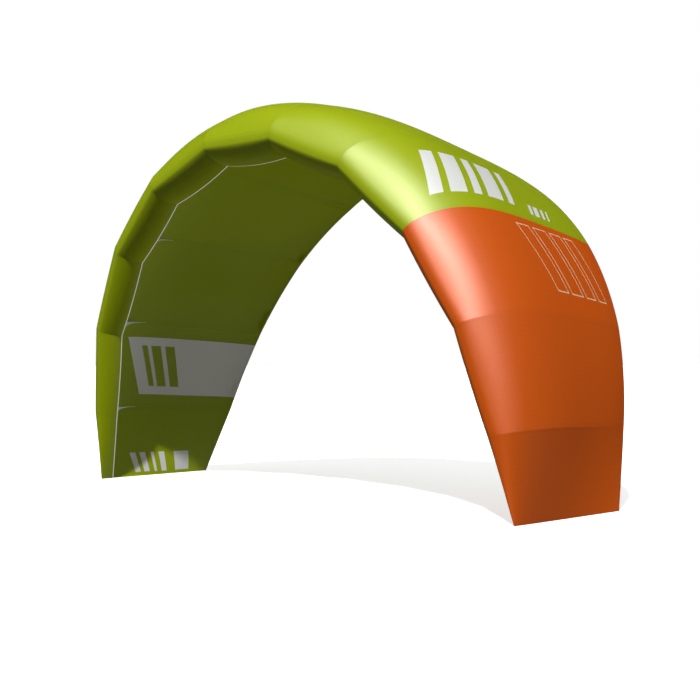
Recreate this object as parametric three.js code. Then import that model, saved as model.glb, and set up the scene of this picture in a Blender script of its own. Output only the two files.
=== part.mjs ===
// Single-skin kitesurfing kite in its flying shape.
// It stands on its two wing tips, with the round nose towards -Y and the rear edge towards +Y.

import * as THREE from 'three';

// Cloth, in millimetres.
const CLOTH = 1.2;
const SEAM_GAP = 0.3;
const TAPE_WIDTH = 4;
const TAPE_THICKNESS = 1.6;

// One row for each rib of the right half, from the wing tip to the middle, in millimetres:
// its nose lies at (out, nose, up), and its chord runs straight back from there.
// Fullness scales the height of the wing section. The two wing tips are pressed flat.
const RIBS = [
  { out: 840, up: 0, nose: 0, chord: 427, fullness: 0.03 },
  { out: 801, up: 211, nose: -41, chord: 547, fullness: 1.01 },
  { out: 732, up: 472, nose: -84, chord: 669, fullness: 0.962 },
  { out: 593, up: 704, nose: -114, chord: 758, fullness: 0.971 },
  { out: 388, up: 879, nose: -136, chord: 818, fullness: 0.984 },
  { out: 135, up: 974, nose: -145, chord: 826, fullness: 1.006 },
];

// How far each cell swells outwards between its ribs, in millimetres, from the wing tip to the middle cell.
// The cloth is drawn tight along the nose, and swells in full from a little way back on the upper skin.
const CELL_SWELL = [0.5, 7, 9.7, 11.1, 15.4, 19.4];
const SWELL_AT_NOSE = 0.08;
const SWELL_AT_BAND_EDGE = 0.44;
const SWELL_GROWS_FROM = 0.098;
const FULL_SWELL_FROM = 0.364;

// Wing section as fractions of the chord. The way back from the nose is q * q, so q is 0 at the nose,
// grows to 1 along the upper skin and falls below 0 along the lower band.
const UPPER_RISE = [0.36, 0.058, -0.657, 0.543];
const BAND_RISE = [0.096, -1.027, -2.568];
const BAND_END = -0.308;
const FOLD_RADIUS = 1.2;

// Nose ribs: where their free edge meets the upper skin, and how far they stay off the cloth around them.
const RIB_END = Math.sqrt(0.35);
const RIB_CLEARANCE = CLOTH / 2 + SEAM_GAP + 0.2;
const RIB_TIP_DEPTH = 1.5;

// Steps of the surfaces.
const UPPER_STEPS = 15;
const BAND_STEPS = 6;
const SPAN_STEPS = 4;
const RIB_EDGE_STEPS = 9;
const NOSE_CROWDING = 1.35;
const SLOPE_STEP = 0.001;

const REARWARD = new THREE.Vector3(0, 1, 0);
const COLOURS = { green: '#8f9f04', orange: '#c85208', rib: '#697079', tape: '#e6e8e4' };
const ORANGE_CELLS = 3;

function clothMaterial(colour) {
  return new THREE.MeshStandardMaterial({ color: colour, roughness: 0.45, metalness: 0 });
}

// Positions along the section, from the lower band's rear edge round the nose to the rear edge of the wing.
function sectionSteps() {
  const band = [];
  for (let step = BAND_STEPS; step > 0; step -= 1) {
    band.push(BAND_END * Math.pow(step / BAND_STEPS, NOSE_CROWDING));
  }
  const upper = [];
  for (let step = 0; step <= UPPER_STEPS; step += 1) {
    upper.push(Math.pow(step / UPPER_STEPS, NOSE_CROWDING));
  }
  return [...band, ...upper];
}

// All ribs from the left wing tip over the middle to the right one, each with the directions of its plane:
// outward is square to the canopy, and spanward is square to the rib.
function placedRibs() {
  const left = RIBS.map((row) => ({ ...row, out: -row.out }));
  const right = RIBS.map((row) => ({ ...row })).reverse();
  const ribs = [...left, ...right];
  const places = ribs.map((rib) => new THREE.Vector3(rib.out, 0, rib.up));
  return ribs.map((rib, index) => {
    const spanward = new THREE.Vector3(0, 0, index === 0 ? 1 : -1);
    const isTip = index === 0 || index === ribs.length - 1;
    if (!isTip) {
      const before = places[index].clone().sub(places[index - 1]).normalize();
      const after = places[index + 1].clone().sub(places[index]).normalize();
      spanward.copy(before.add(after).normalize());
    }
    const outward = new THREE.Vector3(-spanward.z, 0, spanward.x);
    return { ...rib, isTip, spanward, outward, origin: new THREE.Vector3(rib.out, rib.nose, rib.up) };
  });
}

// Middle of the cloth in a rib's plane: millimetres back from the nose and millimetres outwards.
function sectionPoint(rib, q) {
  const share = q * q;
  const back = share * rib.chord;
  const [root, linear, square, cube] = UPPER_RISE;
  const upper = q * (1 - share) * (root + share * (linear + share * (square + share * cube)));
  const [turn, fall, level] = BAND_RISE;
  const band = q * (turn + q * (fall + q * level));
  const turned = Math.min(back / FOLD_RADIUS, 1);
  const fold = Math.sign(q) * FOLD_RADIUS * Math.sqrt(1 - (1 - turned) * (1 - turned));
  const rise = rib.chord * rib.fullness * (q < 0 ? band : upper) + fold;
  return { back, rise };
}

// Run of the section at a place, towards the wing's rear edge along the upper skin.
function sectionRun(rib, q) {
  const before = sectionPoint(rib, q - SLOPE_STEP);
  const after = sectionPoint(rib, q + SLOPE_STEP);
  return new THREE.Vector2(after.back - before.back, after.rise - before.rise);
}

function swellShare(q) {
  if (q < 0) {
    return THREE.MathUtils.lerp(SWELL_AT_NOSE, SWELL_AT_BAND_EDGE, Math.min(q / BAND_END, 1));
  }
  const grown = THREE.MathUtils.smoothstep(q, SWELL_GROWS_FROM, FULL_SWELL_FROM);
  return THREE.MathUtils.lerp(SWELL_AT_NOSE, 1, grown);
}

// Direction square to the cloth at a place in a cell, from one rib (across 0) to the next (across 1).
function clothNormal(cell, across, q) {
  const run = sectionRun(cell.first, q).lerp(sectionRun(cell.second, q), across).normalize();
  const outward = cell.first.outward.clone().lerp(cell.second.outward, across).normalize();
  return outward.multiplyScalar(run.x).addScaledVector(REARWARD, -run.y);
}

function ribPoint(rib, q) {
  const { back, rise } = sectionPoint(rib, q);
  return rib.origin.clone().addScaledVector(REARWARD, back).addScaledVector(rib.outward, rise);
}

// Middle of the cloth at a place in a cell, swollen between its ribs.
function clothPoint(cell, across, q) {
  const bulge = 4 * across * (1 - across) * cell.swell * swellShare(q);
  const point = ribPoint(cell.first, q).lerp(ribPoint(cell.second, q), across);
  return point.addScaledVector(clothNormal(cell, across, q), bulge);
}

// Half of the seam gap on each side of a rib, none at a wing tip.
function seamShift(cell, across) {
  const atFirst = cell.first.isTip ? 0 : SEAM_GAP / 2;
  const atSecond = cell.second.isTip ? 0 : SEAM_GAP / 2;
  const shift = cell.first.spanward.clone().multiplyScalar(atFirst * (1 - across));
  return shift.addScaledVector(cell.second.spanward, -atSecond * across);
}

// Places round the border of a grid, in order.
function borderPlaces(rows, columns) {
  const places = [];
  for (let column = 0; column < columns - 1; column += 1) places.push([0, column]);
  for (let row = 0; row < rows - 1; row += 1) places.push([row, columns - 1]);
  for (let column = columns - 1; column > 0; column -= 1) places.push([rows - 1, column]);
  for (let row = rows - 1; row > 0; row -= 1) places.push([row, 0]);
  return places;
}

// Closed solid between two grids of points. Both grids are cut along the same diagonals,
// so that the sheet keeps its thickness where it is twisted.
function sheetSolid(outer, inner) {
  const rows = outer.length;
  const columns = outer[0].length;
  const top = (row, column) => row * columns + column;
  const under = (row, column) => rows * columns + top(row, column);
  const faces = [];
  for (let row = 0; row + 1 < rows; row += 1) {
    for (let column = 0; column + 1 < columns; column += 1) {
      faces.push(top(row, column), top(row + 1, column + 1), top(row, column + 1));
      faces.push(top(row, column), top(row + 1, column), top(row + 1, column + 1));
      faces.push(under(row, column), under(row, column + 1), under(row + 1, column + 1));
      faces.push(under(row, column), under(row + 1, column + 1), under(row + 1, column));
    }
  }
  const border = borderPlaces(rows, columns);
  border.forEach((here, place) => {
    const next = border[(place + 1) % border.length];
    faces.push(top(...here), top(...next), under(...next));
    faces.push(top(...here), under(...next), under(...here));
  });
  const positions = [...outer.flat(), ...inner.flat()].flatMap((point) => point.toArray());
  const geometry = new THREE.BufferGeometry();
  geometry.setAttribute('position', new THREE.Float32BufferAttribute(positions, 3));
  geometry.setIndex(faces);
  geometry.computeVertexNormals();
  return geometry;
}

// One cell's skin, between a grid of outer and one of inner points.
function skinPanel(cell) {
  const steps = sectionSteps();
  const layer = (offset) => Array.from({ length: SPAN_STEPS + 1 }, (unused, step) => {
    const across = step / SPAN_STEPS;
    const shift = seamShift(cell, across);
    return steps.map((q) => {
      const point = clothPoint(cell, across, q).add(shift);
      return point.addScaledVector(clothNormal(cell, across, q), offset);
    });
  });
  return sheetSolid(layer(CLOTH / 2), layer(-CLOTH / 2));
}

// Free edge of a nose rib: from the band's rear edge it curves up to run out along the upper skin.
function ribOutline(rib) {
  const inside = (q) => {
    const { back, rise } = sectionPoint(rib, q);
    const run = sectionRun(rib, q).normalize();
    return new THREE.Vector2(back + run.y * RIB_CLEARANCE, rise - run.x * RIB_CLEARANCE);
  };
  const outline = sectionSteps().filter((q) => q < RIB_END).map(inside);
  outline.push(inside(RIB_END));
  const corner = outline[0];
  const start = outline[outline.length - 1];
  const depthAtBand = inside(-BAND_END).y - corner.y;
  for (let step = 0; step < RIB_EDGE_STEPS; step += 1) {
    const toBand = step / RIB_EDGE_STEPS;
    const q = Math.sqrt(THREE.MathUtils.lerp(RIB_END * RIB_END, BAND_END * BAND_END, toBand));
    const depth = Math.max(depthAtBand * toBand * toBand, RIB_TIP_DEPTH);
    const above = inside(q);
    const back = step === 0 ? start.x : above.x;
    outline.push(new THREE.Vector2(back, above.y - depth));
  }
  return outline;
}

function noseRib(rib) {
  const geometry = new THREE.ExtrudeGeometry(new THREE.Shape(ribOutline(rib)), {
    depth: CLOTH,
    bevelEnabled: false,
  });
  return geometry.translate(0, 0, -CLOTH / 2);
}

// Tape across its width at a place on the band's rear edge, which it carries on in the band's own direction.
function tapeRow(cell, across, offset) {
  const edge = clothPoint(cell, across, BAND_END);
  const normal = clothNormal(cell, across, BAND_END);
  const rearward = edge.clone().sub(clothPoint(cell, across, BAND_END + SLOPE_STEP)).normalize();
  return [SEAM_GAP + TAPE_WIDTH, SEAM_GAP].map((reach) => (
    edge.clone().addScaledVector(rearward, reach).addScaledVector(normal, offset)
  ));
}

function edgeTape(cells) {
  const layer = (offset) => cells.flatMap((cell, index) => {
    const first = index === 0 ? 0 : 1;
    return Array.from({ length: SPAN_STEPS + 1 - first }, (unused, step) => (
      tapeRow(cell, (step + first) / SPAN_STEPS, offset)
    ));
  });
  return sheetSolid(layer(TAPE_THICKNESS / 2), layer(-TAPE_THICKNESS / 2));
}

function namedMesh(name, geometry, colour) {
  const mesh = new THREE.Mesh(geometry, clothMaterial(colour));
  mesh.name = name;
  return mesh;
}

function buildKite() {
  const ribs = placedRibs();
  const cells = ribs.slice(1).map((second, index) => {
    const fromTip = Math.min(index, ribs.length - 2 - index);
    return { first: ribs[index], second, swell: CELL_SWELL[fromTip] };
  });

  const kite = new THREE.Group();
  cells.forEach((cell, index) => {
    const isOrange = index >= cells.length - ORANGE_CELLS;
    kite.add(namedMesh(`skin_${index + 1}`, skinPanel(cell), isOrange ? COLOURS.orange : COLOURS.green));
  });
  ribs.slice(1, -1).forEach((rib, index) => {
    const mesh = namedMesh(`rib_${index + 1}`, noseRib(rib), COLOURS.rib);
    const axes = new THREE.Matrix4().makeBasis(REARWARD, rib.outward, rib.spanward);
    mesh.quaternion.setFromRotationMatrix(axes);
    mesh.position.copy(rib.origin);
    kite.add(mesh);
  });
  kite.add(namedMesh('edge_tape', edgeTape(cells), COLOURS.tape));

  // The middle of the object's length in Y goes to the origin.
  const box = new THREE.Box3().setFromObject(kite);
  kite.position.y = -(box.min.y + box.max.y) / 2;
  return kite;
}

const group = buildKite();
export default group;
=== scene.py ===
import math
from collections import namedtuple

import bpy
import numpy as np
from bpy.props import FloatProperty, FloatVectorProperty, IntProperty, PointerProperty
from mathutils import Matrix, Vector


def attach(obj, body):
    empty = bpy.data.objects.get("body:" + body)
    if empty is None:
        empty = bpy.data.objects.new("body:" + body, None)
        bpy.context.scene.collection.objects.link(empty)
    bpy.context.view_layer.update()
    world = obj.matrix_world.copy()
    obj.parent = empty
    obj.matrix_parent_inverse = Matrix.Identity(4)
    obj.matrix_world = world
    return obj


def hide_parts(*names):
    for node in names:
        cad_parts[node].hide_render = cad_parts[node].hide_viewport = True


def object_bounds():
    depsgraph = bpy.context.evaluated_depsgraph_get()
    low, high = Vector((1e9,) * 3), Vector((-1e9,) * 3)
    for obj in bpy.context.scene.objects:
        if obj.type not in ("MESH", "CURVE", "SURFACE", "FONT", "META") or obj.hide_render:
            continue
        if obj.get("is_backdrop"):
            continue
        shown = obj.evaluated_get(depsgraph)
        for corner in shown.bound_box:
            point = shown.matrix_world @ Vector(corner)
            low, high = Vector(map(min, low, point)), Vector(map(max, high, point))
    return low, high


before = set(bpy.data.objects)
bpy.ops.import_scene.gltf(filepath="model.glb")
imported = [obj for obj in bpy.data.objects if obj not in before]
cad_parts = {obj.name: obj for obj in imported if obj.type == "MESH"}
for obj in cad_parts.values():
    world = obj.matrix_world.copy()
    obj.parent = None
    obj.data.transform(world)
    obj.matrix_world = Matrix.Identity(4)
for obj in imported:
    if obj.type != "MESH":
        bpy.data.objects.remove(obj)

bl_info = {
    "name": "Single-skin kite",
    "version": (1, 0, 0),
    "blender": (4, 5, 0),
    "location": "3D View > Sidebar > Kite",
    "description": "Sews the finished cloth of a single-skin kite over its packed solids and sets its studio",
    "category": "Object",
}

MM = 0.001
BODY = "root"

# One row for each rib of the right half, from the wing tip to the middle, in millimetres.
Rib = namedtuple("Rib", "out up nose chord fullness")
RIB_TABLE = (
    Rib(840, 0, 0, 427, 0.03),
    Rib(801, 211, -41, 547, 1.01),
    Rib(732, 472, -84, 669, 0.962),
    Rib(593, 704, -114, 758, 0.971),
    Rib(388, 879, -136, 818, 0.984),
    Rib(135, 974, -145, 826, 1.006),
)

# How far each cell swells between its ribs, in millimetres. The cloth is drawn tight along the nose.
CELL_SWELL = (0.5, 7, 9.7, 11.1, 15.4, 19.4)
SWELL_AT_NOSE = 0.08
SWELL_AT_BAND_EDGE = 0.44
SWELL_GROWS_FROM = 0.098
FULL_SWELL_FROM = 0.364

# The wing section as shares of the chord: the way back from the nose is q squared.
UPPER_RISE = (0.36, 0.058, -0.657, 0.543)
BAND_RISE = (0.096, -1.027, -2.568)
BAND_END = -0.308
FOLD_RADIUS = 1.2
RIB_END = math.sqrt(0.35)
SLOPE_STEP = 0.001
NOSE_STEP = 1e-4

# A nose rib keeps clear of the skin and ends in a narrow tip, in millimetres.
RIB_CLEARANCE = 0.15
RIB_TIP_DEPTH = 1.5
RIB_STEPS = 60
RIB_DEPTH_STEPS = 14

# The curved outline of a rib needs a wider strip of flat cloth than the rib is high, in millimetres.
RIB_CLOTH_ROOM = 6

# A place counts as inside a fold up to this share of the fold's width, so that rounding leaves none out.
FOLD_SLACK = 1.02

# Steps lie closer together near the nose, where the cloth turns sharply.
NOSE_CROWDING = 1.35
RIB_CROWDING = 1.2

# The folded edge tape in millimetres: gap to the band's edge, flat width, depth of the fold inside,
# half its thickness, and half the thickness of the space inside.
TAPE_FOLD = (0.2, 1.9, 1.4, 0.6, 0.4)

# The kite's middle in its front-to-back direction lies at the origin.
WHOLE_KITE_FORWARD = -269.849
ORANGE_CELLS = 3

# Rows of slanted bars printed on the cloth, in millimetres: across the cell from its middle line,
# and along the cloth from the nose. A bar's place and width are along the cloth.
Bar = namedtuple("Bar", "place width")
Print = namedtuple("Print", "ink across_from across_to slant line bars")
PRINTS = {
    "skin_1": (
        Print("white", -101, -37, -0.3, 0,
              (Bar(150, 24), Bar(190, 24), Bar(230, 12), Bar(268, 24), Bar(350, 62))),
    ),
    "skin_2": (
        Print("white", -100, 92, -0.35, 0, (Bar(560, 660),)),
        Print("green", -72, 64, -0.35, 0, (Bar(285, 20), Bar(325, 34), Bar(375, 34))),
    ),
    "skin_8": (
        Print("white", -72, 98, -0.55, 0,
              (Bar(196, 46), Bar(276, 64), Bar(352, 34), Bar(430, 70), Bar(506, 28))),
        Print("white", 66, 112, -0.55, 0, (Bar(604, 16), Bar(634, 24), Bar(668, 14), Bar(694, 10))),
    ),
    "skin_9": (
        Print("cream", -122, 76, 0.35, 3.0, (Bar(430, 60), Bar(512, 66), Bar(592, 58), Bar(664, 50))),
    ),
}


# Camera: where it stands and which way it looks, in metres, and its roll in degrees.
CAMERA_PLACE = (2.8581, -2.8078, 0.4174)
CAMERA_WAY = (-0.7107, 0.7035, -0.00115)
CAMERA_ROLL = -0.085
SENSOR_WIDTH = 36

FLOOR_RADIUS = 30.0
FLOOR_DEPTH = 0.02
FLOOR_CORNERS = 96

# Studio lamps: the way towards each, its strength, the angle that it fills in degrees, and the light it gives.
# The key light lights the dye of the cloth. The four softbox lamps lie within one another, brightest in the
# middle, and show only in the gloss, as a broad bright band along the nose.
Lamp = namedtuple("Lamp", "name towards strength angle diffuse glossy")
KEY_WAY = (0.318, -0.550, 0.772)
BOX_WAY = (0.430, -0.455, 0.780)
LAMPS = (
    Lamp("key light", KEY_WAY, 3.15, 2, True, False),
    Lamp("softbox middle", BOX_WAY, 1.6, 30, False, True),
    Lamp("softbox", BOX_WAY, 4.8, 60, False, True),
    Lamp("softbox rim", BOX_WAY, 4.4, 90, False, True),
    Lamp("softbox edge", BOX_WAY, 1.7, 120, False, True),
    Lamp("light from behind", (0.10, 0.75, -0.65), 0.60, 40, True, False),
    Lamp("light from the side", (0.75, 0.45, -0.48), 0.20, 40, True, False),
)

# Light from all round: its mean, and how it leans from one side to the other.
SKY_MEAN = 0.26
SKY_LEAN = (-0.16, 0.12, 0.155)


def linear(hex_colour):
    """Linear colour of an sRGB hex value."""
    shares = (int(hex_colour[place:place + 2], 16) / 255 for place in (1, 3, 5))
    return tuple(s / 12.92 if s <= 0.04045 else ((s + 0.055) / 1.055) ** 2.4 for s in shares)


# Wing shape.

PlacedRib = namedtuple("PlacedRib", "chord fullness spanward outward origin")


def placed_ribs():
    """All ribs from the left wing tip to the right one, with the directions of their planes."""
    rows = [rib._replace(out=-rib.out) for rib in RIB_TABLE] + list(reversed(RIB_TABLE))
    places = [Vector((rib.out, 0, rib.up)) for rib in rows]
    placed = []
    for index, rib in enumerate(rows):
        if 0 < index < len(rows) - 1:
            before = (places[index] - places[index - 1]).normalized()
            after = (places[index + 1] - places[index]).normalized()
            spanward = (before + after).normalized()
        else:
            spanward = Vector((0, 0, 1 if index == 0 else -1))
        outward = np.array((-spanward.z, 0, spanward.x))
        origin = np.array((rib.out, rib.nose + WHOLE_KITE_FORWARD, rib.up))
        placed.append(PlacedRib(rib.chord, rib.fullness, np.array(spanward), outward, origin))
    return placed


def section(rib, q):
    """Way back from the nose and height of the cloth's middle, in a rib's plane."""
    share = q * q
    back = share * rib.chord
    root, straight, square, cube = UPPER_RISE
    upper = q * (1 - share) * (root + share * (straight + share * (square + share * cube)))
    turn, fall, level = BAND_RISE
    band = q * (turn + q * (fall + q * level))
    turned = np.minimum(back / FOLD_RADIUS, 1)
    fold = np.sign(q) * FOLD_RADIUS * np.sqrt(1 - (1 - turned) ** 2)
    return back, rib.chord * rib.fullness * np.where(q < 0, band, upper) + fold


def section_run(rib, q):
    """Run of the section along the cloth, towards the rear edge over the upper skin."""
    back_before, rise_before = section(rib, q - SLOPE_STEP)
    back_after, rise_after = section(rib, q + SLOPE_STEP)
    return np.stack((back_after - back_before, rise_after - rise_before), axis=-1)


def unit(vectors):
    """Vectors of length one."""
    return vectors / np.linalg.norm(vectors, axis=-1, keepdims=True)


def rib_points(rib, q):
    """Points of the cloth's middle where it crosses a rib."""
    back, rise = section(rib, q)
    return rib.origin + rise[:, None] * rib.outward + back[:, None] * np.array((0, 1, 0))


Cloth = namedtuple("Cloth", "middle normal")


def cloth_of(first, second, swell, across, q):
    """Grid of the cloth's middle and of its outward directions between two ribs."""
    w = across[:, None, None]
    run = unit((1 - w) * section_run(first, q) + w * section_run(second, q))
    outward = unit((1 - w) * first.outward + w * second.outward)
    normal = outward * run[..., :1] - np.array((0, 1, 0)) * run[..., 1:]
    grown = np.clip((q - SWELL_GROWS_FROM) / (FULL_SWELL_FROM - SWELL_GROWS_FROM), 0, 1)
    upper_side = SWELL_AT_NOSE + (1 - SWELL_AT_NOSE) * grown * grown * (3 - 2 * grown)
    band_side = SWELL_AT_NOSE + (SWELL_AT_BAND_EDGE - SWELL_AT_NOSE) * np.minimum(q / BAND_END, 1)
    share = np.where(q < 0, band_side, upper_side)
    bulge = 4 * w * (1 - w) * swell * share[None, :, None]
    middle = (1 - w) * rib_points(first, q) + w * rib_points(second, q) + bulge * normal
    return Cloth(middle, normal)


def cells():
    """Each cell's number, its two ribs and its swell, from the left wing tip to the right one."""
    ribs = placed_ribs()
    for index in range(len(ribs) - 1):
        from_tip = min(index, len(ribs) - 2 - index)
        yield index, ribs[index], ribs[index + 1], CELL_SWELL[from_tip]


def way_along(points):
    """Length along a row of points, from its start."""
    steps = np.linalg.norm(np.diff(points, axis=0), axis=1)
    return np.concatenate(((0,), np.cumsum(steps)))


# Meshes.

def border_of(rows, columns):
    """Places round the border of a grid, in order."""
    grid = np.arange(rows * columns).reshape(rows, columns)
    return np.concatenate((grid[0, :-1], grid[:-1, -1], grid[-1, :0:-1], grid[:0:-1, 0]))


def piece_from(name, points, faces, maps, sharp=()):
    """Smooth mesh object from points in millimetres, with its maps in metres and its sharp edges."""
    mesh = bpy.data.meshes.new(name)
    mesh.from_pydata((np.asarray(points) * MM).tolist(), [], [list(map(int, face)) for face in faces])
    mesh.shade_smooth()
    corner = np.zeros(len(mesh.loops), int)
    mesh.loops.foreach_get("vertex_index", corner)
    for map_name, places in maps.items():
        layer = mesh.uv_layers.new(name=map_name)
        layer.uv.foreach_set("vector", (np.asarray(places) * MM)[corner].astype(np.float32).ravel())
    if len(sharp):
        wanted = {tuple(sorted(pair)) for pair in np.asarray(sharp).tolist()}
        for edge in mesh.edges:
            edge.use_edge_sharp = tuple(sorted(edge.vertices)) in wanted
    piece = bpy.data.objects.new(name, mesh)
    bpy.context.scene.collection.objects.link(piece)
    return piece


def sheet_between(name, outer, inner, maps):
    """Closed sheet between two grids of points, with square-cut edges."""
    rows, columns = outer.shape[:2]
    grid = np.arange(rows * columns).reshape(rows, columns)
    quads = np.stack((grid[:-1, :-1], grid[1:, :-1], grid[1:, 1:], grid[:-1, 1:]), axis=-1).reshape(-1, 4)
    under = quads[:, ::-1] + rows * columns
    border = border_of(rows, columns)
    following = np.roll(border, -1)
    rim = np.stack((border, following, following + rows * columns, border + rows * columns), axis=-1)
    sharp = np.concatenate((rim[:, :2], rim[:, 2:]))
    points = np.concatenate((outer.reshape(-1, 3), inner.reshape(-1, 3)))
    both = {key: np.tile(places.reshape(-1, 2), (2, 1)) for key, places in maps.items()}
    return piece_from(name, points, np.concatenate((quads, under, rim)), both, sharp)


# Materials.

def add(tree, kind, settings=None, **sockets):
    """New node with its settings, and a value or a link for each named or numbered socket."""
    node = tree.nodes.new(kind)
    for key, value in (settings or {}).items():
        setattr(node, key, value)
    for key, value in sockets.items():
        place = int(key[1:]) if key[1:].isdigit() else key.replace("_", " ")
        if isinstance(value, bpy.types.NodeSocket):
            tree.links.new(value, node.inputs[place])
        else:
            node.inputs[place].default_value = value
    return node


def figure(tree, operation, *values):
    """Result of one sum on numbers or sockets."""
    named = {f"_{place}": value for place, value in enumerate(values)}
    return add(tree, "ShaderNodeMath", {"operation": operation}, **named).outputs[0]


def map_places(tree, name):
    """The two places of a map, in metres."""
    vector = add(tree, "ShaderNodeUVMap", {"uv_map": name}).outputs[0]
    parts = add(tree, "ShaderNodeSeparateXYZ", Vector=vector).outputs
    return parts[0], parts[1]


def bars_of(tree, across, along, row):
    """Where a row of slanted bars covers the cloth, 1 inside and 0 outside."""
    slanted = figure(tree, "MULTIPLY_ADD", across, -row.slant, along)
    middle = (row.across_from + row.across_to) / 2 * MM
    reach = (row.across_to - row.across_from) / 2 * MM

    def covered(inset):
        inside = figure(tree, "COMPARE", across, middle, reach - inset)
        total = 0
        for bar in row.bars:
            here = figure(tree, "COMPARE", slanted, bar.place * MM, bar.width / 2 * MM - inset)
            total = figure(tree, "ADD", here, total)
        return figure(tree, "MULTIPLY", inside, total)

    whole = covered(0)
    if not row.line:
        return whole
    return figure(tree, "SUBTRACT", whole, covered(row.line * MM))


def coated_ripstop(name, colour, roughness, prints=(), painted_glow=0.0):
    """Ripstop nylon, plain woven with a thicker thread at each grid line, dyed, calendered and coated:
    a satin sheet with a broad soft gloss, in which the grid shows as a faint raised net."""
    cloth = bpy.context.scene.kite_cloth
    colours = bpy.context.scene.kite_colours
    material = bpy.data.materials.new(name)
    material.use_nodes = True
    tree = material.node_tree
    tree.nodes.clear()
    across, along = map_places(tree, "cloth")

    # The real net has threads 0.5 mm wide every 5 mm. It is drawn coarser, so that it shows at all.
    pitch = cloth.net_pitch
    to_line = (
        figure(tree, "PINGPONG", across, pitch / 2),
        figure(tree, "PINGPONG", along, pitch / 2),
    )
    nearest = figure(tree, "MINIMUM", *to_line)
    net = add(tree, "ShaderNodeMapRange", {"interpolation_type": "SMOOTHSTEP"},
              Value=nearest, _1=0.0, _2=cloth.net_line, _3=1.0, _4=0.0).outputs[0]

    ink = {"white": colours.print_white, "cream": colours.print_cream, "green": colours.green}
    dye = add(tree, "ShaderNodeRGB").outputs[0]
    dye.default_value = (*colour, 1)
    for row in prints:
        here = bars_of(tree, across, along, row)
        dye = add(tree, "ShaderNodeMix", {"data_type": "RGBA"},
                  Factor=here, _6=dye, _7=(*ink[row.ink], 1)).outputs[2]
    netted = add(tree, "ShaderNodeMix", {"data_type": "RGBA", "blend_type": "MULTIPLY"},
                  Factor=net, _6=dye, _7=(*[cloth.net_shade] * 3, 1)).outputs[2]

    # Lockstitch in two rows along each seam and hem: stitches 3 mm long, of thread 0.3 mm thick, drawn wider.
    from_seam, from_hem = map_places(tree, "edges")
    rows = []
    for distance, run in ((from_seam, along), (from_hem, across)):
        stitch_place = figure(tree, "FRACT", figure(tree, "DIVIDE", run, cloth.stitch))
        dash = figure(tree, "GREATER_THAN", stitch_place, cloth.stitch_gap)
        for place in (cloth.first_row, cloth.second_row):
            on_row = figure(tree, "COMPARE", distance, place, cloth.thread / 2)
            rows.append(figure(tree, "MULTIPLY", on_row, dash))
    stitches = rows[0]
    for row in rows[1:]:
        stitches = figure(tree, "MAXIMUM", stitches, row)
    sewn = add(tree, "ShaderNodeMix", {"data_type": "RGBA", "blend_type": "MULTIPLY"},
               Factor=stitches, _6=netted, _7=(*[cloth.stitch_shade] * 3, 1)).outputs[2]

    height = figure(tree, "MULTIPLY_ADD", net, cloth.net_height, stitches)
    relief = add(tree, "ShaderNodeBump", Height=height, Strength=cloth.relief,
                 Distance=cloth.relief_depth).outputs[0]
    # Painted light: an own light in the dye's colour, set above zero only for the nose ribs.
    shader = add(tree, "ShaderNodeBsdfPrincipled", Base_Color=sewn, Roughness=roughness, Normal=relief,
                 IOR=cloth.coating_ior, Specular_IOR_Level=cloth.gloss,
                 Emission_Color=(*colour, 1), Emission_Strength=painted_glow)
    add(tree, "ShaderNodeOutputMaterial", Surface=shader.outputs[0])
    return material


def woven_tape(name, colour):
    """Polyester binding tape, woven in a fine twill: matt, with small ribs across its length. The tape gives
    off a little painted light of its own, so that it shows lighter in the shade."""
    material = bpy.data.materials.new(name)
    material.use_nodes = True
    tree = material.node_tree
    tree.nodes.clear()
    around, along = map_places(tree, "cloth")
    ribs = figure(tree, "PINGPONG", along, 0.0006)
    relief = add(tree, "ShaderNodeBump", Height=ribs, Strength=0.4, Distance=0.001).outputs[0]
    speck = add(tree, "ShaderNodeTexNoise", Scale=900.0, Detail=2.0).outputs[0]
    tone = add(tree, "ShaderNodeMix", {"data_type": "RGBA", "blend_type": "MULTIPLY"},
               Factor=speck, _6=(*colour, 1), _7=(0.88, 0.88, 0.9, 1)).outputs[2]
    # Painted light: the white emission lightens the tape in the shade, where no lamp reaches it.
    shader = add(tree, "ShaderNodeBsdfPrincipled", Base_Color=tone, Roughness=0.8, Normal=relief,
                 Emission_Color=(1, 1, 1, 1), Emission_Strength=0.25)
    add(tree, "ShaderNodeOutputMaterial", Surface=shader.outputs[0])
    return material


def matt_floor(name, colour, own_light):
    """Studio floor painted in matt white emulsion with a roller: even and without gloss."""
    material = bpy.data.materials.new(name)
    material.use_nodes = True
    tree = material.node_tree
    tree.nodes.clear()
    grain = add(tree, "ShaderNodeTexNoise", Scale=60.0, Detail=4.0).outputs[0]
    relief = add(tree, "ShaderNodeBump", Height=grain, Strength=0.05, Distance=0.002).outputs[0]
    shader = add(tree, "ShaderNodeBsdfPrincipled", Base_Color=(*colour, 1), Roughness=0.9, Normal=relief,
                 Specular_IOR_Level=0.1, Emission_Color=(1, 1, 1, 1), Emission_Strength=own_light)
    add(tree, "ShaderNodeOutputMaterial", Surface=shader.outputs[0])
    return material


# Settings.

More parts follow.
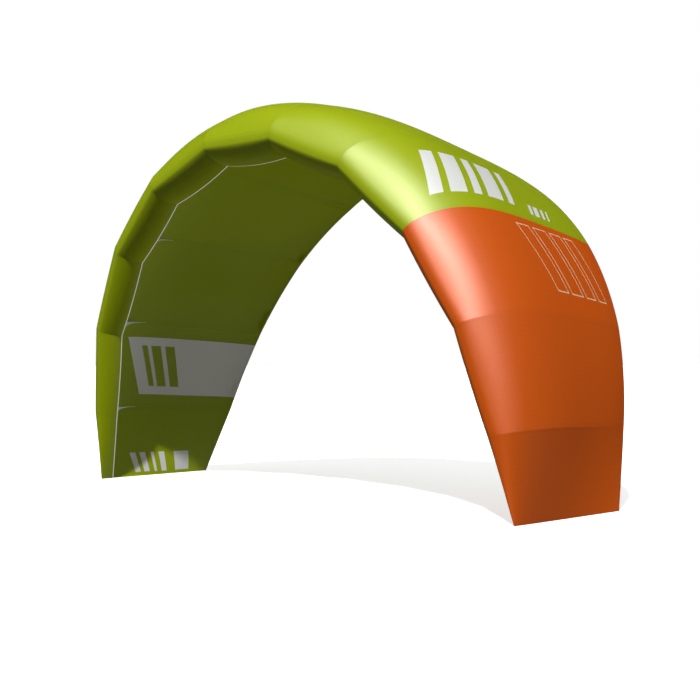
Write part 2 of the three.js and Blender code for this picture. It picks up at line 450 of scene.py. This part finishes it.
class KiteCloth(bpy.types.PropertyGroup):
    cloth: FloatProperty(name="Cloth", description="Thickness of the shown cloth", default=0.6 * MM,
                         unit="LENGTH")
    fold: FloatProperty(name="Fold", description="Extra thickness of a seam allowance or hem", default=0.4 * MM,
                        unit="LENGTH")
    allowance: FloatProperty(name="Allowance", description="Width of a seam allowance", default=8 * MM,
                             unit="LENGTH")
    hem: FloatProperty(name="Hem", description="Width of the hem at the rear edge", default=10 * MM,
                       unit="LENGTH")
    net_pitch: FloatProperty(name="Net pitch", description="Distance between two ripstop threads",
                             default=12 * MM, unit="LENGTH")
    net_line: FloatProperty(name="Net line", description="Half width of a ripstop thread", default=1.2 * MM,
                            unit="LENGTH")
    stitch: FloatProperty(name="Stitch", description="Length of a stitch and its gap", default=5 * MM,
                          unit="LENGTH")
    thread: FloatProperty(name="Thread", description="Width of the sewing thread", default=0.8 * MM,
                          unit="LENGTH")
    net_shade: FloatProperty(name="Net shade", description="Share of light that a ripstop thread gives back",
                             default=0.95, subtype="FACTOR")
    net_height: FloatProperty(name="Net height", description="Height of a ripstop thread beside a stitch's",
                              default=0.5, subtype="FACTOR")
    stitch_shade: FloatProperty(name="Stitch shade", description="Share of light that a stitch gives back",
                                default=0.8, subtype="FACTOR")
    stitch_gap: FloatProperty(name="Stitch gap", description="Share of a stitch's length that is its gap",
                              default=0.25, subtype="FACTOR")
    relief: FloatProperty(name="Relief", description="Strength of the threads' relief", default=0.1,
                          subtype="FACTOR")
    relief_depth: FloatProperty(name="Relief depth", description="Height of a stitch above the cloth",
                                default=0.2 * MM, unit="LENGTH")
    first_row: FloatProperty(name="First row", description="First row of stitches, from the seam",
                             default=2.5 * MM, unit="LENGTH")
    second_row: FloatProperty(name="Second row", description="Second row of stitches, from the seam",
                              default=7 * MM, unit="LENGTH")
    roughness: FloatProperty(name="Roughness", description="Roughness of the coated cloth", default=0.30,
                             subtype="FACTOR")
    coating_ior: FloatProperty(name="Coating IOR", description="Refractive index of the coating", default=1.5)
    gloss: FloatProperty(name="Gloss", description="Strength of the coating's reflection", default=0.5,
                         subtype="FACTOR")
    across_steps: IntProperty(name="Steps across", description="Steps across a cell", default=28)
    upper_steps: IntProperty(name="Upper steps", description="Steps along the upper skin", default=84)
    band_steps: IntProperty(name="Band steps", description="Steps along the lower band", default=26)


class KiteColours(bpy.types.PropertyGroup):
    green: FloatVectorProperty(name="Green", description="Yellow-green cloth", default=linear("#9FB100"),
                               subtype="COLOR", size=3)
    orange: FloatVectorProperty(name="Orange", description="Orange cloth", default=linear("#D95B00"),
                                subtype="COLOR", size=3)
    print_white: FloatVectorProperty(name="Print", description="Off-white printed bars",
                                     default=linear("#E8EAE6"), subtype="COLOR", size=3)
    print_cream: FloatVectorProperty(name="Outlines", description="Cream printed outlines",
                                     default=linear("#F4DDB4"), subtype="COLOR", size=3)
    rib: FloatVectorProperty(name="Rib", description="Blue-grey rib cloth", default=linear("#C4CCDA"),
                             subtype="COLOR", size=3)
    tape: FloatVectorProperty(name="Tape", description="White edge tape", default=linear("#F2F2F0"),
                              subtype="COLOR", size=3)
    floor: FloatVectorProperty(name="Floor", description="Studio floor", default=linear("#EDEDED"),
                               subtype="COLOR", size=3)


class KiteStudio(bpy.types.PropertyGroup):
    brightness: FloatProperty(name="Brightness", description="Strength of all lamps and the sky",
                              default=1.0)
    lens: FloatProperty(name="Lens", description="Focal length of the camera in millimetres", default=70.70)
    floor_light: FloatProperty(name="Floor light", description="The floor's own light", default=0.6)


# Operators.

def panel_steps(first, second, swell):
    """Places across a cell and along its section, with a step at each edge of an allowance."""
    cloth = bpy.context.scene.kite_cloth
    width = np.linalg.norm(second.origin - first.origin)
    inset = cloth.allowance / MM / width
    step = cloth.fold / MM / width
    inner = np.linspace(inset + step, 1 - inset - step, cloth.across_steps + 1)
    across = np.concatenate(((0, inset / 2, inset), inner, (1 - inset, 1 - inset / 2, 1)))
    band = BAND_END * (np.arange(cloth.band_steps, 0, -1) / cloth.band_steps) ** NOSE_CROWDING
    chord = (first.chord + second.chord) / 2
    hem_start = math.sqrt(1 - cloth.hem / MM / chord)
    hem_step = math.sqrt(1 - (cloth.hem + cloth.fold) / MM / chord)
    upper = hem_step * (np.arange(cloth.upper_steps + 1) / cloth.upper_steps) ** NOSE_CROWDING
    return across, np.concatenate((band, upper, (hem_start, (hem_start + 1) / 2, 1)))


class KITE_OT_skin_panels(bpy.types.Operator):
    """Sew one panel of coated cloth for each cell, from the lower band round the nose to the rear edge"""
    bl_idname = "kite.skin_panels"
    bl_label = "Skin panels"

    def execute(self, context):
        cloth = context.scene.kite_cloth
        colours = context.scene.kite_colours
        plain = {}
        count = 2 * len(RIB_TABLE) - 1
        for index, first, second, swell in cells():
            node = f"skin_{index + 1}"
            tint = "orange" if index >= count - ORANGE_CELLS else "green"
            across, q = panel_steps(first, second, swell)
            sheet = cloth_of(first, second, swell, across, q)
            outer, inner, maps, flat = self.layers(cloth, across, q, sheet)
            piece = sheet_between(f"{tint}_panel_{index + 1}", outer, inner, maps)
            if node in PRINTS:
                material = coated_ripstop(f"{tint} coated ripstop nylon, printed {index + 1}",
                                          getattr(colours, tint), cloth.roughness, PRINTS[node])
            else:
                if tint not in plain:
                    plain[tint] = coated_ripstop(f"{tint} coated ripstop nylon", getattr(colours, tint),
                                                 cloth.roughness)
                material = plain[tint]
            piece.data.materials.append(material)
            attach(piece, BODY)
            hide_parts(node)
            width, length, area = flat
        return {"FINISHED"}

    def layers(self, cloth, across, q, sheet):
        """Outer and inner faces of a panel, its maps, and its flat width, length and area."""
        middle, normal = sheet
        rows, columns = middle.shape[:2]
        along = np.stack([way_along(row) for row in middle])
        nose = np.argmin(np.abs(q))
        along -= along[:, nose:nose + 1]
        over = np.stack([way_along(middle[:, column]) for column in range(columns)], axis=1)
        widths = over[-1]
        centred = over - widths / 2
        from_seam = np.minimum(over, widths - over)
        chord_middle = along[rows // 2]
        from_hem = along[:, -1:] - along
        by_seam = from_seam < cloth.allowance / MM * FOLD_SLACK
        by_rear_edge = from_hem < cloth.hem / MM * FOLD_SLACK
        folded = by_seam | by_rear_edge
        thickness = cloth.cloth / MM / 2
        outer = middle + thickness * normal
        inner = middle - (thickness + folded * cloth.fold / MM)[..., None] * normal
        maps = {
            "cloth": np.stack((centred, np.broadcast_to(chord_middle, centred.shape)), axis=-1),
            "edges": np.stack((from_seam, from_hem), axis=-1),
        }
        length = chord_middle[-1] - chord_middle[0]
        area = np.trapz(widths, chord_middle)
        return outer, inner, maps, (widths.max(), length, area)


class KITE_OT_nose_ribs(bpy.types.Operator):
    """Sew a nose rib under each seam between two cells, with its free edge running out along the skin"""
    bl_idname = "kite.nose_ribs"
    bl_label = "Nose ribs"

    def execute(self, context):
        cloth = context.scene.kite_cloth
        # Painted light: the rib cloth gives off a little light of its own, so that it shows lighter in the
        # shade under the skin.
        material = coated_ripstop("blue-grey rib ripstop nylon", context.scene.kite_colours.rib, 0.6, painted_glow=0.16)
        ribs = placed_ribs()
        for index, rib in enumerate(ribs[1:-1]):
            outer, inner, maps, flat = self.layers(cloth, rib)
            piece = sheet_between(f"nose_rib_{index + 1}", outer, inner, maps)
            piece.data.materials.append(material)
            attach(piece, BODY)
            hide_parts(f"rib_{index + 1}")
            width, length, area = flat
        return {"FINISHED"}

    def layers(self, cloth, rib):
        """Both faces of a rib from its free edge up to the skin, its maps, and its flat size."""
        clear = cloth.cloth / MM / 2 + RIB_CLEARANCE
        q = RIB_END * (np.arange(1, RIB_STEPS + 1) / RIB_STEPS) ** RIB_CROWDING

        def inside(place):
            back, rise = section(rib, place)
            run = unit(section_run(rib, place))
            return np.stack((back + run[:, 1] * clear, rise - run[:, 0] * clear), axis=-1)

        top = inside(q)
        band_top = inside(np.array((-BAND_END,)))[0]
        band_low = inside(np.array((BAND_END,)))[0]
        depth_at_band = band_top[1] - band_low[1]
        share = q * q
        to_band = (RIB_END ** 2 - share) / (RIB_END ** 2 - BAND_END ** 2)
        depth = np.maximum(depth_at_band * np.clip(to_band, 0, 1) ** 2, RIB_TIP_DEPTH)
        free = np.stack((top[:, 0], top[:, 1] - depth), axis=-1)
        band = inside(-q)
        band_rise = np.interp(top[:, 0], band[:, 0], band[:, 1])
        low = np.where(top[:, :1] < band_low[0], np.stack((top[:, 0], band_rise), axis=-1), free)
        nose = (inside(np.array((NOSE_STEP,)))[0] + inside(np.array((-NOSE_STEP,)))[0]) / 2
        top = np.concatenate((nose[None], top))
        low = np.concatenate((nose[None] - (0, 0.01), low))
        down = np.linspace(0, 1, RIB_DEPTH_STEPS + 1)[:, None, None]
        flat = (1 - down) * top + down * low
        plane = rib.origin + flat[..., 1:] * rib.outward + flat[..., :1] * np.array((0, 1, 0))
        half = cloth.cloth / MM / 2 * rib.spanward
        from_skin = top[:, 1] - flat[..., 1]
        from_free = flat[..., 1] - low[:, 1]
        maps = {"cloth": flat, "edges": np.stack((from_skin, from_free), axis=-1)}
        heights = top[:, 1] - low[:, 1]
        area = np.trapz(heights, top[:, 0])
        return plane + half, plane - half, maps, (heights.max() + RIB_CLOTH_ROOM, np.ptp(top[:, 0]), area)


class KITE_OT_edge_tape(bpy.types.Operator):
    """Fold one long tape round the free rear edge of the lower band"""
    bl_idname = "kite.edge_tape"
    bl_label = "Edge tape"

    def execute(self, context):
        across = np.linspace(0, 1, 33)
        edge, rearward, normal = [], [], []
        for index, first, second, swell in cells():
            keep = slice(0 if index == 0 else 1, None)
            places = np.array((BAND_END, BAND_END + SLOPE_STEP))
            sheet = cloth_of(first, second, swell, across[keep], places)
            edge.append(sheet.middle[:, 0])
            rearward.append(unit(sheet.middle[:, 0] - sheet.middle[:, 1]))
            normal.append(sheet.normal[:, 0])
        edge, rearward, normal = (np.concatenate(part) for part in (edge, rearward, normal))
        # Round-backed fold: its places behind the band's edge and outwards from the cloth's middle.
        gap, wide, deep, half, core = TAPE_FOLD
        ring = [(gap, half)]
        ring += [(wide + half * math.sin(a), half * math.cos(a)) for a in np.linspace(0, math.pi, 9)]
        ring += [(gap, -half), (gap, -core), (deep, -core), (deep, core), (gap, core)]
        ring = np.array(ring)
        points = edge[:, None] + ring[:, :1] * rearward[:, None] + ring[:, 1:] * normal[:, None]
        rows, columns = points.shape[:2]
        grid = np.arange(rows * columns).reshape(rows, columns)
        after = np.roll(grid, -1, axis=1)
        quads = np.stack((grid[:-1], after[:-1], after[1:], grid[1:]), axis=-1).reshape(-1, 4)
        along = np.broadcast_to(way_along(edge)[:, None], (rows, columns))
        around = np.broadcast_to(way_along(ring)[None], (rows, columns))
        maps = {"cloth": np.stack((around, along), axis=-1).reshape(-1, 2)}
        faces = [*quads.tolist(), grid[0, ::-1].tolist(), grid[-1].tolist()]
        corners = [0, len(ring) - 5, len(ring) - 4, len(ring) - 3, len(ring) - 2, len(ring) - 1]
        sharp = np.concatenate([np.stack((grid[:-1, c], grid[1:, c]), axis=-1) for c in corners])
        piece = piece_from("folded_edge_tape", points.reshape(-1, 3), faces, maps, sharp)
        material = woven_tape("white woven polyester tape", context.scene.kite_colours.tape)
        piece.data.materials.append(material)
        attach(piece, BODY)
        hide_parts("edge_tape")
        return {"FINISHED"}


class KITE_OT_studio(bpy.types.Operator):
    """Set the pale floor, the soft light and the camera"""
    bl_idname = "kite.studio"
    bl_label = "Studio"

    def execute(self, context):
        scene = context.scene
        studio = scene.kite_studio
        self.floor(scene, studio)
        self.sky(scene, studio)
        for lamp in LAMPS:
            self.sun(lamp, studio)
        self.camera(scene, studio)
        scene.view_settings.view_transform = "Standard"
        return {"FINISHED"}

    def floor(self, scene, studio):
        angles = np.linspace(0, 2 * math.pi, FLOOR_CORNERS + 1)[:-1]
        rim = [(FLOOR_RADIUS * math.cos(a), FLOOR_RADIUS * math.sin(a)) for a in angles]
        points = [(*place, height) for height in (0, -FLOOR_DEPTH) for place in rim]
        count = len(angles)
        faces = [list(range(count))]
        faces += [[count + k, count + (k + 1) % count, (k + 1) % count, k] for k in range(count)]
        mesh = bpy.data.meshes.new("studio_floor")
        mesh.from_pydata(points, [], faces)
        floor = bpy.data.objects.new("studio_floor", mesh)
        scene.collection.objects.link(floor)
        paint = matt_floor("matt white emulsion", scene.kite_colours.floor, studio.floor_light)
        floor.data.materials.append(paint)
        floor.visible_diffuse = False
        floor.visible_glossy = False
        floor.visible_shadow = False
        floor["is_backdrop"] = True

    def sky(self, scene, studio):
        world = bpy.data.worlds.new("studio light")
        scene.world = world
        world.use_nodes = True
        tree = world.node_tree
        tree.nodes.clear()
        direction = add(tree, "ShaderNodeTexCoord").outputs["Generated"]
        lean = add(tree, "ShaderNodeVectorMath", {"operation": "DOT_PRODUCT"}, _0=direction, _1=SKY_LEAN)
        shade = figure(tree, "ADD", lean.outputs["Value"], SKY_MEAN)
        strength = figure(tree, "MULTIPLY", figure(tree, "MAXIMUM", shade, 0.0), studio.brightness)
        light = add(tree, "ShaderNodeBackground", Strength=strength)
        light.inputs["Color"].default_value = (1, 1, 1, 1)
        seen = add(tree, "ShaderNodeBackground", Strength=1.0)
        seen.inputs["Color"].default_value = (1, 1, 1, 1)
        ray = add(tree, "ShaderNodeLightPath").outputs["Is Camera Ray"]
        both = add(tree, "ShaderNodeMixShader", _0=ray, _1=light.outputs[0], _2=seen.outputs[0])
        add(tree, "ShaderNodeOutputWorld", Surface=both.outputs[0])
        world.cycles_visibility.glossy = False

    def sun(self, lamp, studio):
        light = bpy.data.lights.new(lamp.name, "SUN")
        light.energy = lamp.strength * studio.brightness
        light.angle = math.radians(lamp.angle)
        lit = bpy.data.objects.new(lamp.name, light)
        lit.rotation_euler = Vector(lamp.towards).to_track_quat("Z", "Y").to_euler()
        lit.location = Vector(lamp.towards) * 4
        lit.visible_diffuse = lamp.diffuse
        lit.visible_glossy = lamp.glossy
        bpy.context.scene.collection.objects.link(lit)

    def camera(self, scene, studio):
        lens = bpy.data.cameras.new("camera")
        lens.lens = studio.lens
        lens.sensor_width = SENSOR_WIDTH
        eye = bpy.data.objects.new("camera", lens)
        looking = Vector(CAMERA_WAY).to_track_quat("-Z", "Y").to_matrix()
        roll = Matrix.Rotation(math.radians(CAMERA_ROLL), 3, "Z")
        eye.rotation_euler = (looking @ roll).to_euler()
        eye.location = CAMERA_PLACE
        scene.collection.objects.link(eye)
        scene.camera = eye


class KITE_PT_sewing(bpy.types.Panel):
    """The kite's pieces, in the order in which they are made"""
    bl_idname = "KITE_PT_sewing"
    bl_label = "Single-skin kite"
    bl_space_type = "VIEW_3D"
    bl_region_type = "UI"
    bl_category = "Kite"

    def draw(self, context):
        for operator in OPERATORS:
            self.layout.operator(operator.bl_idname)


OPERATORS = (KITE_OT_skin_panels, KITE_OT_nose_ribs, KITE_OT_edge_tape, KITE_OT_studio)
GROUPS = {"kite_cloth": KiteCloth, "kite_colours": KiteColours, "kite_studio": KiteStudio}
CLASSES = (*GROUPS.values(), *OPERATORS, KITE_PT_sewing)


def register():
    for cls in CLASSES:
        bpy.utils.register_class(cls)
    for name, group in GROUPS.items():
        setattr(bpy.types.Scene, name, PointerProperty(type=group))


def unregister():
    for name in GROUPS:
        delattr(bpy.types.Scene, name)
    for cls in reversed(CLASSES):
        bpy.utils.unregister_class(cls)


def plain(box):
    """Corners of a box as plain lists."""
    return [[float(value) for value in corner] for corner in box]


def main():
    packed = plain(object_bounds())
    register()
    bpy.ops.kite.skin_panels()
    bpy.ops.kite.nose_ribs()
    bpy.ops.kite.edge_tape()
    bpy.ops.kite.studio()
    {"packed": packed, "finished": plain(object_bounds())}


if __name__ == "__main__":
    main()
